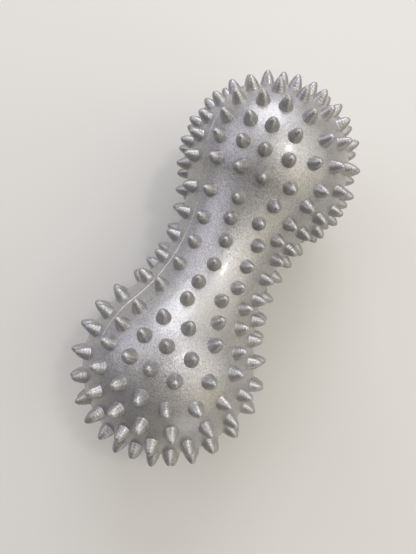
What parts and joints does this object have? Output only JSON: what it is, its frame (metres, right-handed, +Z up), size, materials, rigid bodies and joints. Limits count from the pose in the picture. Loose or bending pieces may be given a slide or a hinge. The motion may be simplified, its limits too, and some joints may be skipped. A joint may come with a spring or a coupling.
{
  "type": "peanut massage ball",
  "caption": "Hollow peanut-shaped massage ball with a slim waist, covered all over in blunt rounded spikes, for rolling under the back, neck or feet.",
  "frame": {"origin": "on the floor, under the middle of the ball's box as it lies at rest on its spikes", "axes": "+X along the ball through both lobes, +Z up, +Y across the ball towards the side where one half of the parting line faces up"},
  "size_m": [0.1612, 0.0742, 0.0736],
  "materials": {
    "pearl_pvc": "satin silver pearl, moulded soft PVC"
  },
  "bodies": {
    "root": {"massage_ball": "pearl_pvc"}
  },
  "joints": []
}
